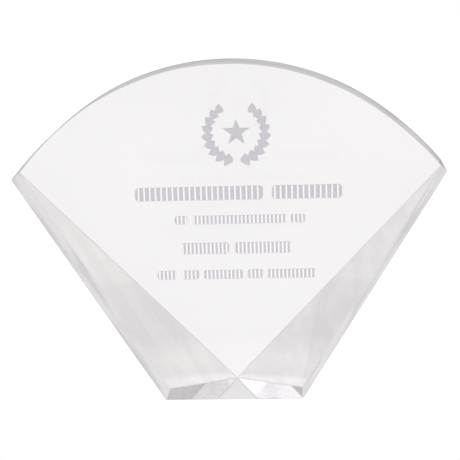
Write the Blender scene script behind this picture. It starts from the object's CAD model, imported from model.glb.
import math

import bmesh
import bpy
from mathutils import Matrix, Vector


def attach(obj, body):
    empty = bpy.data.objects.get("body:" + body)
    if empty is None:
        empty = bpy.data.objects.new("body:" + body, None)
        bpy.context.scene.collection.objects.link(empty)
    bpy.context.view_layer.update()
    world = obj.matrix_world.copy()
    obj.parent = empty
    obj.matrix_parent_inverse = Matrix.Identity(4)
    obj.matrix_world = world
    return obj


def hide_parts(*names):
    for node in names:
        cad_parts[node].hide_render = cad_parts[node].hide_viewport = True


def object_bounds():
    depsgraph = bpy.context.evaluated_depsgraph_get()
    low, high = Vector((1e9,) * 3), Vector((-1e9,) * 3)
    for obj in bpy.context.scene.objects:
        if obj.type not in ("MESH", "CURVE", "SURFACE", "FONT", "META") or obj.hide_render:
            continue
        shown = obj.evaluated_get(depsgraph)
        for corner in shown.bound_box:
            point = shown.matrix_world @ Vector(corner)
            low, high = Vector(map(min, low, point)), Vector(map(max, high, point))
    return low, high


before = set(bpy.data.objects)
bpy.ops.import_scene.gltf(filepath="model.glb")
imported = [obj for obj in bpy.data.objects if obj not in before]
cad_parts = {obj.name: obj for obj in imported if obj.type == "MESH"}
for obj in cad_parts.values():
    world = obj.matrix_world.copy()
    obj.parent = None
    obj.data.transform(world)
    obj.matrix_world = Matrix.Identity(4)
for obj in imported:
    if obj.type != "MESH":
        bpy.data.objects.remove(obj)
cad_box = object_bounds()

bpy.ops.object.select_all(action="DESELECT")

# The crystal block is one solid piece of clear optical glass, sawn to a fan and ground flat on
# the front, the leaning back, the side walls and two lower back facets. Every face is polished,
# and each sharp edge is taken off with a narrow arris.
front_y = cad_box[0][1]
fan_half_width = 0.0916
tip_height = 0.0988
fan_height = 0.146
foot_half_width = 0.0298
foot_depth = 0.0441
corner_depth = 0.0228
top_depth = 0.0184
crown_radius = 0.108
crown_half_angle = math.radians(35)
crown_steps = 60
shoulder_steps = 24
blank_depth = 0.060
arris_width = 0.0003
arris_min_angle = math.radians(10)
smooth_angle = math.radians(8)
merge_distance = 0.00001

crown_outward = Vector((math.sin(crown_half_angle), 0.0, math.cos(crown_half_angle)))
crown_centre = Vector((0.0, 0.0, fan_height - crown_radius))
crown_end = crown_centre + crown_radius * crown_outward
tip_chord = Vector((fan_half_width, 0.0, tip_height)) - crown_end
shoulder_radius = tip_chord.length_squared / (2 * tip_chord.dot(-crown_outward))
shoulder_centre = crown_end - crown_outward * shoulder_radius
shoulder_angle = 2 * math.asin(tip_chord.length / (2 * shoulder_radius))


def select_where(obj, kind, test):
    """In edit mode, selects only the vertices, edges or faces that pass the test."""
    shape = bmesh.from_edit_mesh(obj.data)
    for item in [*shape.verts, *shape.edges, *shape.faces]:
        item.select = False
    for item in getattr(shape, kind):
        if test(item):
            item.select_set(True)
    shape.select_flush_mode()
    bmesh.update_edit_mesh(obj.data)


def select_outer_end(obj):
    """In edit mode, selects the vertices furthest out in X, where the outline carries on."""
    far_x = max(v.co.x for v in bmesh.from_edit_mesh(obj.data).verts)
    select_where(obj, "verts", lambda v: v.co.x > far_x - merge_distance)


# Half the outline is drawn as a ribbon as deep as the blank: the crown and the tighter shoulder
# are spun, and the side wall and the foot are extruded. It is mirrored and closed at both ends.
bpy.ops.mesh.primitive_plane_add(size=1.0)
block = bpy.context.object
block.name = "polished_block"
block.data.name = "polished_block"
bpy.ops.object.mode_set(mode="EDIT")
bpy.ops.mesh.select_mode(type="VERT")
bpy.ops.transform.resize(value=(1.0, blank_depth, 1.0))
bpy.ops.transform.translate(value=(0.5, front_y + blank_depth / 2, fan_height))
select_where(block, "verts", lambda v: v.co.x > 0.5)
bpy.ops.mesh.delete(type="VERT")
bpy.ops.mesh.select_all(action="SELECT")
bpy.ops.mesh.spin(steps=crown_steps, angle=-crown_half_angle, center=crown_centre, axis=(0, 1, 0))
select_outer_end(block)
bpy.ops.mesh.spin(steps=shoulder_steps, angle=-shoulder_angle, center=shoulder_centre, axis=(0, 1, 0))
select_outer_end(block)
bpy.ops.mesh.extrude_region_move(
    TRANSFORM_OT_translate={"value": (foot_half_width - fan_half_width, 0, -tip_height)}
)
bpy.ops.mesh.extrude_region_move(TRANSFORM_OT_translate={"value": (-foot_half_width, 0, 0)})
bpy.ops.object.mode_set(mode="OBJECT")
other_half = block.modifiers.new("other_half", "MIRROR")
other_half.merge_threshold = merge_distance
bpy.ops.object.modifier_apply(modifier=other_half.name)
bpy.ops.object.mode_set(mode="EDIT")
bpy.ops.mesh.select_mode(type="EDGE")
for end_y in (front_y, front_y + blank_depth):
    select_where(block, "edges", lambda e: all(abs(v.co.y - end_y) < 1e-6 for v in e.verts))
    bpy.ops.mesh.edge_face_add()
bpy.ops.mesh.select_all(action="SELECT")
bpy.ops.mesh.normals_make_consistent(inside=False)

# The leaning back and the two facets are ground off along planes that meet at the apex, the
# rearmost point of the foot. The arrises come last.
apex = Vector((0.0, front_y + foot_depth, 0.0))
lean = (top_depth - foot_depth) / fan_height
tip_y = front_y + foot_depth + lean * tip_height
back_normal = Vector((0.0, 1.0, -lean)).normalized()
facet_normals = []
for side in (1, -1):
    corner = Vector((side * foot_half_width, front_y + corner_depth, 0.0))
    back_tip = Vector((side * fan_half_width, tip_y, tip_height))
    facet_normal = (corner - apex).cross(back_tip - apex).normalized()
    facet_normals.append(facet_normal if facet_normal.y > 0 else -facet_normal)
for normal in [back_normal, *facet_normals]:
    bpy.ops.mesh.select_all(action="SELECT")
    bpy.ops.mesh.bisect(plane_co=apex, plane_no=normal, use_fill=True, clear_outer=True)
bpy.ops.mesh.select_all(action="SELECT")
bpy.ops.mesh.remove_doubles(threshold=merge_distance)
bpy.ops.mesh.normals_make_consistent(inside=False)
select_where(
    block, "edges", lambda e: len(e.link_faces) == 2 and e.calc_face_angle() > arris_min_angle
)
bpy.ops.mesh.bevel(offset=arris_width, segments=2, profile=0.5, affect="EDGES")
bpy.ops.object.mode_set(mode="OBJECT")

# The engraving is cut as shallow pockets in the front of the block, a little larger all round
# than the frosted marks that show in them.
pocket_clearance = 0.0002
mark_merge_distance = 0.000005
mark_names = [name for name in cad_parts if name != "crystal_block"]
bpy.ops.object.select_all(action="DESELECT")
cutters = []
for name in mark_names:
    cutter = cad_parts[name].copy()
    cutter.data = cutter.data.copy()
    cutter.parent = None
    bpy.context.scene.collection.objects.link(cutter)
    cutter.select_set(True)
    cutters.append(cutter)
bpy.context.view_layer.objects.active = cutters[0]
bpy.ops.object.join()
cutter = bpy.context.object
bpy.ops.object.mode_set(mode="EDIT")
bpy.ops.mesh.select_all(action="SELECT")
bpy.ops.mesh.remove_doubles(threshold=mark_merge_distance)
bpy.ops.transform.shrink_fatten(value=pocket_clearance, use_even_offset=True)
bpy.ops.object.mode_set(mode="OBJECT")
bpy.ops.object.select_all(action="DESELECT")
block.select_set(True)
bpy.context.view_layer.objects.active = block
pockets = block.modifiers.new("pockets", "BOOLEAN")
pockets.operation = "DIFFERENCE"
pockets.solver = "EXACT"
pockets.object = cutter
bpy.ops.object.modifier_apply(modifier=pockets.name)
bpy.data.objects.remove(cutter, do_unlink=True)
bpy.ops.object.shade_smooth_by_angle(angle=smooth_angle)


def set_stops(ramp_node, stops):
    """Gives a colour ramp its (place, colour) stops, lowest place first."""
    elements = ramp_node.color_ramp.elements
    while len(elements) < len(stops):
        elements.new(0.5)
    for element, (at, colour) in zip(elements, stops):
        element.position = at
        element.color = (*colour, 1)


def spread(tree, value, start=0.0, end=1.0, low=0.0, high=1.0, easing="LINEAR"):
    """Maps a value that runs from start to end on to low to high, and holds it past both."""
    span = tree.nodes.new("ShaderNodeMapRange")
    span.interpolation_type = easing
    span.inputs["From Min"].default_value = start
    span.inputs["From Max"].default_value = end
    span.inputs["To Min"].default_value = low
    span.inputs["To Max"].default_value = high
    tree.links.new(value, span.inputs["Value"])
    return span.outputs["Result"]


def clear_glass(
    name, bending, clearness, roughest, tones, tone_scale, tone_stretch, slant=0.0, bands=None
):
    """Polished glass with faint polishing variation, slow waves and an uneven tint.

    tones are (place, colour) stops along the tint's noise, whose streaks can slant. bands are
    (height, colour) stops that grade the tint from the foot upwards.
    """
    finish = bpy.data.materials.new(name)
    finish.use_nodes = True
    tree = finish.node_tree
    nodes = tree.nodes
    links = tree.links
    glass = nodes["Principled BSDF"]
    glass.inputs["IOR"].default_value = bending
    glass.inputs["Transmission Weight"].default_value = clearness
    place = nodes.new("ShaderNodeTexCoord")
    polish = nodes.new("ShaderNodeTexNoise")
    polish.inputs["Scale"].default_value = 140.0
    polish.inputs["Detail"].default_value = 3.0
    links.new(place.outputs["Object"], polish.inputs["Vector"])
    links.new(spread(tree, polish.outputs["Fac"], high=roughest), glass.inputs["Roughness"])
    stretch = nodes.new("ShaderNodeMapping")
    stretch.inputs["Scale"].default_value = tone_stretch
    stretch.inputs["Rotation"].default_value = (0.0, slant, 0.0)
    stretch.vector_type = "TEXTURE" if slant else "POINT"
    links.new(place.outputs["Object"], stretch.inputs["Vector"])
    tone = nodes.new("ShaderNodeTexNoise")
    tone.inputs["Scale"].default_value = tone_scale
    links.new(stretch.outputs["Vector"], tone.inputs["Vector"])
    tone_ramp = nodes.new("ShaderNodeValToRGB")
    set_stops(tone_ramp, tones)
    links.new(tone.outputs["Fac"], tone_ramp.inputs["Fac"])
    tint = tone_ramp.outputs["Color"]
    if bands:
        split = nodes.new("ShaderNodeSeparateXYZ")
        links.new(place.outputs["Object"], split.inputs["Vector"])
        grade = nodes.new("ShaderNodeValToRGB")
        set_stops(grade, [(height / tip_height, colour) for height, colour in bands])
        links.new(spread(tree, split.outputs["Z"], end=tip_height), grade.inputs["Fac"])
        shaded = nodes.new("ShaderNodeMix")
        shaded.data_type = "RGBA"
        shaded.blend_type = "MULTIPLY"
        shaded.inputs["Factor"].default_value = 1.0
        links.new(tint, shaded.inputs["A"])
        links.new(grade.outputs["Color"], shaded.inputs["B"])
        tint = shaded.outputs["Result"]
    links.new(tint, glass.inputs["Base Color"])
    waves = nodes.new("ShaderNodeTexNoise")
    waves.inputs["Scale"].default_value = 14.0
    waves.inputs["Detail"].default_value = 1.0
    links.new(place.outputs["Object"], waves.inputs["Vector"])
    waves_bump = nodes.new("ShaderNodeBump")
    waves_bump.inputs["Strength"].default_value = 0.15
    waves_bump.inputs["Distance"].default_value = 0.00005
    links.new(waves.outputs["Fac"], waves_bump.inputs["Height"])
    links.new(waves_bump.outputs["Normal"], glass.inputs["Normal"])
    return finish


# The front, the foot and the leaning back are bright polished. The two back facets are ground
# last: their streaks and height bands stand in for what a real facet reflects.
flat_bending = 1.47
flat_clearness = 0.98
bright_tones = ((0.38, (0.900, 0.885, 0.890)), (0.58, (0.925, 0.910, 0.908)))
facet_tones = ((0.36, (0.90, 0.885, 0.89)), (0.52, (0.93, 0.915, 0.92)), (0.62, (1.0, 0.99, 0.99)))
facet_bands = (
    (0.000, (0.80, 0.785, 0.795)), (0.012, (0.90, 0.89, 0.89)), (0.022, (0.73, 0.715, 0.73)),
    (0.046, (0.79, 0.78, 0.79)), (0.049, (0.87, 0.87, 0.87)), (0.058, (0.89, 0.88, 0.88)),
    (0.060, (0.95, 0.925, 0.92)), (0.090, (1.0, 0.99, 0.985)),
)
facet_streak_slant = math.radians(-28)
bright_polish = clear_glass(
    "bright_polish", flat_bending, flat_clearness, roughest=0.012,
    tones=bright_tones, tone_scale=9.0, tone_stretch=(1.0, 1.0, 1.0),
)
facet_polish = clear_glass(
    "facet_polish", flat_bending, flat_clearness, roughest=0.02,
    tones=facet_tones, tone_scale=160.0, tone_stretch=(1.0, 1.0, 14.0),
    slant=facet_streak_slant, bands=facet_bands,
)

# The side walls, the crown and the arrises come from the edge wheel with a softer polish. They
# are simplified: with no bending, light passes straight through them and only takes their tint.
edge_bending = 1.0
edge_clearness = 0.92
edge_roughest = 0.04
edge_tones = ((0.36, (0.46, 0.45, 0.49)), (0.44, (0.55, 0.53, 0.55)), (0.58, (0.66, 0.64, 0.65)))
crown_tones = ((0.38, (0.34, 0.33, 0.37)), (0.58, (0.45, 0.43, 0.45)))
edge_polish = clear_glass(
    "edge_polish", edge_bending, edge_clearness, edge_roughest,
    tones=edge_tones, tone_scale=70.0, tone_stretch=(1.0, 1.0, 0.25),
)
crown_polish = clear_glass(
    "crown_polish", edge_bending, edge_clearness, edge_roughest,
    tones=crown_tones, tone_scale=60.0, tone_stretch=(0.4, 1.0, 1.0),
)

# Each face takes the finish of the side it was ground on. The crown is what faces upwards behind
# the front arris, and the walls of the pockets go with the edges.
same_way = 0.9998
crown_min_rise = 0.1
front_arris_depth = 0.001
flat_normals = [Vector((0.0, -1.0, 0.0)), Vector((0.0, 0.0, -1.0)), back_normal]
finishes = [bright_polish, facet_polish, edge_polish, crown_polish]
while block.material_slots:
    bpy.ops.object.material_slot_remove()
for finish in finishes:
    block.data.materials.append(finish)
for face in block.data.polygons:
    face_finish = edge_polish
    if any(face.normal.dot(normal) > same_way for normal in flat_normals):
        face_finish = bright_polish
    elif any(face.normal.dot(normal) > same_way for normal in facet_normals):
        face_finish = facet_polish
    elif face.normal.z > crown_min_rise and face.center.y > front_y + front_arris_depth:
        face_finish = crown_polish
    face.material_index = finishes.index(face_finish)
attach(block, "root")
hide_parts("crystal_block")

# The marks are sand-frosted areas at the bottom of the pockets: a fine matt grain that shows pale
# grey with a little violet in it. The word bars are cut as rows of narrow strokes with polished
# glass left between them, and the star and the two laurel sprigs are frosted solid.
bar_stroke_pitch = 0.0017
bar_stroke_share = 0.05
title_stroke_pitch = 0.0024
title_stroke_share = 0.45
stroke_edge_softness = 0.4
grain_tones = ((0.3, (0.53, 0.525, 0.565)), (0.7, (0.64, 0.635, 0.67)))
polished_gap_tone = (0.97, 0.96, 0.97)


def sand_frost(name, stroke_pitch=None, stroke_share=None):
    """Frosted glass with a fine grain. With a stroke pitch it is cut as a row of strokes."""
    finish = bpy.data.materials.new(name)
    finish.use_nodes = True
    tree = finish.node_tree
    nodes = tree.nodes
    links = tree.links
    matt = nodes["Principled BSDF"]
    matt.inputs["Specular IOR Level"].default_value = 0.3
    place = nodes.new("ShaderNodeTexCoord")
    grain = nodes.new("ShaderNodeTexNoise")
    grain.inputs["Scale"].default_value = 2200.0
    grain.inputs["Detail"].default_value = 4.0
    links.new(place.outputs["Object"], grain.inputs["Vector"])
    grain_ramp = nodes.new("ShaderNodeValToRGB")
    set_stops(grain_ramp, grain_tones)
    links.new(grain.outputs["Fac"], grain_ramp.inputs["Fac"])
    links.new(spread(tree, grain.outputs["Fac"], low=0.55, high=0.85), matt.inputs["Roughness"])
    grain_bump = nodes.new("ShaderNodeBump")
    grain_bump.inputs["Strength"].default_value = 0.4
    grain_bump.inputs["Distance"].default_value = 0.00004
    links.new(grain.outputs["Fac"], grain_bump.inputs["Height"])
    links.new(grain_bump.outputs["Normal"], matt.inputs["Normal"])
    if stroke_pitch is None:
        links.new(grain_ramp.outputs["Color"], matt.inputs["Base Color"])
        return finish
    split = nodes.new("ShaderNodeSeparateXYZ")
    links.new(place.outputs["Object"], split.inputs["Vector"])
    phase = nodes.new("ShaderNodeMath")
    phase.operation = "MULTIPLY"
    phase.inputs[1].default_value = 2 * math.pi / stroke_pitch
    links.new(split.outputs["X"], phase.inputs[0])
    swing = nodes.new("ShaderNodeMath")
    swing.operation = "SINE"
    links.new(phase.outputs["Value"], swing.inputs[0])
    gap = spread(tree, swing.outputs["Value"], stroke_share, stroke_share + stroke_edge_softness)
    cut = nodes.new("ShaderNodeMix")
    cut.data_type = "RGBA"
    cut.inputs["B"].default_value = (*polished_gap_tone, 1)
    links.new(gap, cut.inputs["Factor"])
    links.new(grain_ramp.outputs["Color"], cut.inputs["A"])
    links.new(cut.outputs["Result"], matt.inputs["Base Color"])
    return finish


solid_frost = sand_frost("solid_frost")
title_frost = sand_frost("title_frost", title_stroke_pitch, title_stroke_share)
bar_frost = sand_frost("bar_frost", bar_stroke_pitch, bar_stroke_share)
for name in mark_names:
    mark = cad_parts[name]
    finish = solid_frost
    if name.startswith("title"):
        finish = title_frost
    elif "_bar_" in name:
        finish = bar_frost
    mark.material_slots[0].material = finish

# The block stands on a round light table: a white diffusing top, evenly lit from below, that
# fades softly into the pale floor round it.
lit_radius = 0.035
faded_radius = 0.075
table_gap = 0.0003
bpy.ops.object.select_all(action="DESELECT")
bpy.ops.mesh.primitive_circle_add(
    vertices=128, radius=faded_radius, fill_type="NGON", location=(0, 0, -table_gap)
)
table = bpy.context.object
table.name = "light_table"
table_top = bpy.data.materials.new("lit_diffuser")
table_top.use_nodes = True
tree = table_top.node_tree
diffuser = tree.nodes["Principled BSDF"]
diffuser.inputs["Base Color"].default_value = (0.05, 0.05, 0.05, 1)
diffuser.inputs["Roughness"].default_value = 0.9
diffuser.inputs["Specular IOR Level"].default_value = 0.0
diffuser.inputs["Emission Color"].default_value = (1.0, 1.0, 1.0, 1)
diffuser.inputs["Emission Strength"].default_value = 1.0
place = tree.nodes.new("ShaderNodeTexCoord")
reach = tree.nodes.new("ShaderNodeVectorMath")
reach.operation = "LENGTH"
tree.links.new(place.outputs["Object"], reach.inputs[0])
rim_fade = spread(tree, reach.outputs["Value"], lit_radius, faded_radius, 1.0, 0.0, "SMOOTHSTEP")
tree.links.new(rim_fade, diffuser.inputs["Alpha"])
table.data.materials.append(table_top)

# The room is a white backdrop straight behind the table, with pale grey walls to the sides and a
# dimmer band above the backdrop. Two large soft boxes light it from the front left and, more
# weakly, the front right. All of it is by direction alone, X to the right and Y to the back.
plain_wall = (0.86, 0.845, 0.85)
backdrop_tones = (
    (0.0, (0.84, 0.83, 0.85)), (0.33, (0.90, 0.885, 0.89)), (0.375, (1.015, 1.015, 1.015)),
    (0.556, (1.015, 1.015, 1.015)), (0.578, (0.93, 0.91, 0.91)), (1.0, (0.86, 0.84, 0.84)),
)
height_levels = ((0.50, 1.0), (0.53, 0.85), (0.62, 0.85), (0.72, 0.97), (1.0, 1.0))
backdrop_from, backdrop_to = 0.05, 0.40
least_ahead = 0.02
box_inner, box_outer = 0.50, 0.62
left_box_strength = 1.0
right_box_strength = 0.5
boxes_full, boxes_ended = -0.18, -0.03
world = bpy.data.worlds.new("studio_room")
world.use_nodes = True
bpy.context.scene.world = world
tree = world.node_tree
nodes = tree.nodes
links = tree.links
background = nodes["Background"]
look = nodes.new("ShaderNodeTexCoord")
split = nodes.new("ShaderNodeSeparateXYZ")
links.new(look.outputs["Generated"], split.inputs["Vector"])
ahead_part = nodes.new("ShaderNodeMath")
ahead_part.operation = "MAXIMUM"
ahead_part.inputs[1].default_value = least_ahead
links.new(split.outputs["Y"], ahead_part.inputs[0])
aside = nodes.new("ShaderNodeMath")
aside.operation = "DIVIDE"
links.new(split.outputs["X"], aside.inputs[0])
links.new(ahead_part.outputs["Value"], aside.inputs[1])
backdrop = nodes.new("ShaderNodeValToRGB")
set_stops(backdrop, backdrop_tones)
links.new(spread(tree, aside.outputs["Value"], -1.0, 1.0), backdrop.inputs["Fac"])
walls = nodes.new("ShaderNodeMix")
walls.data_type = "RGBA"
walls.inputs["A"].default_value = (*plain_wall, 1)
towards_back = spread(tree, split.outputs["Y"], backdrop_from, backdrop_to, easing="SMOOTHSTEP")
links.new(towards_back, walls.inputs["Factor"])
links.new(backdrop.outputs["Color"], walls.inputs["B"])
links.new(walls.outputs["Result"], background.inputs["Color"])
left_box = spread(tree, split.outputs["X"], -box_outer, -box_inner, left_box_strength, 0.0)
right_box = spread(tree, split.outputs["X"], box_inner, box_outer, 0.0, right_box_strength)
in_front = spread(tree, split.outputs["Y"], boxes_full, boxes_ended, 1.0, 0.0)
both_boxes = nodes.new("ShaderNodeMath")
links.new(left_box, both_boxes.inputs[0])
links.new(right_box, both_boxes.inputs[1])
box_light = nodes.new("ShaderNodeMath")
box_light.operation = "MULTIPLY_ADD"
box_light.inputs[2].default_value = 1.0
links.new(both_boxes.outputs["Value"], box_light.inputs[0])
links.new(in_front, box_light.inputs[1])
height_light = nodes.new("ShaderNodeValToRGB")
set_stops(height_light, [(at, (level, level, level)) for at, level in height_levels])
links.new(spread(tree, split.outputs["Z"], -1.0, 1.0), height_light.inputs["Fac"])
room_light = nodes.new("ShaderNodeMath")
room_light.operation = "MULTIPLY"
links.new(height_light.outputs["Color"], room_light.inputs[0])
links.new(box_light.outputs["Value"], room_light.inputs[1])
links.new(room_light.outputs["Value"], background.inputs["Strength"])
bpy.context.scene.view_settings.view_transform = "Standard"

# Light is followed through many faces of the glass before it is given up, so that the block's
# inside stays clear.
bpy.context.scene.cycles.max_bounces = 40
bpy.context.scene.cycles.transmission_bounces = 40
bpy.context.scene.cycles.diffuse_bounces = 16

# The camera has a long lens. It stands in front of the award, a little to the right and above,
# and is tipped down, turned and rolled slightly.
pitch = math.radians(12.8)
turn = math.radians(-3.3)
roll = math.radians(-1.8)
camera_place = Vector((0.035, front_y - 0.6, 0.212))
camera_data = bpy.data.cameras.new("studio_camera")
camera_data.sensor_width = 36.0
camera_data.lens = 114.0
camera_data.clip_start = 0.01
camera = bpy.data.objects.new("studio_camera", camera_data)
bpy.context.scene.collection.objects.link(camera)
ahead = Vector((
    math.sin(turn) * math.cos(pitch), math.cos(turn) * math.cos(pitch), -math.sin(pitch)
))
level = Vector((math.cos(turn), -math.sin(turn), 0.0))
upright = level.cross(ahead)
across = math.cos(roll) * level + math.sin(roll) * upright
upwards = math.cos(roll) * upright - math.sin(roll) * level
pose = Matrix((across, upwards, -ahead)).transposed().to_4x4()
pose.translation = camera_place
camera.matrix_world = pose
bpy.context.scene.camera = camera
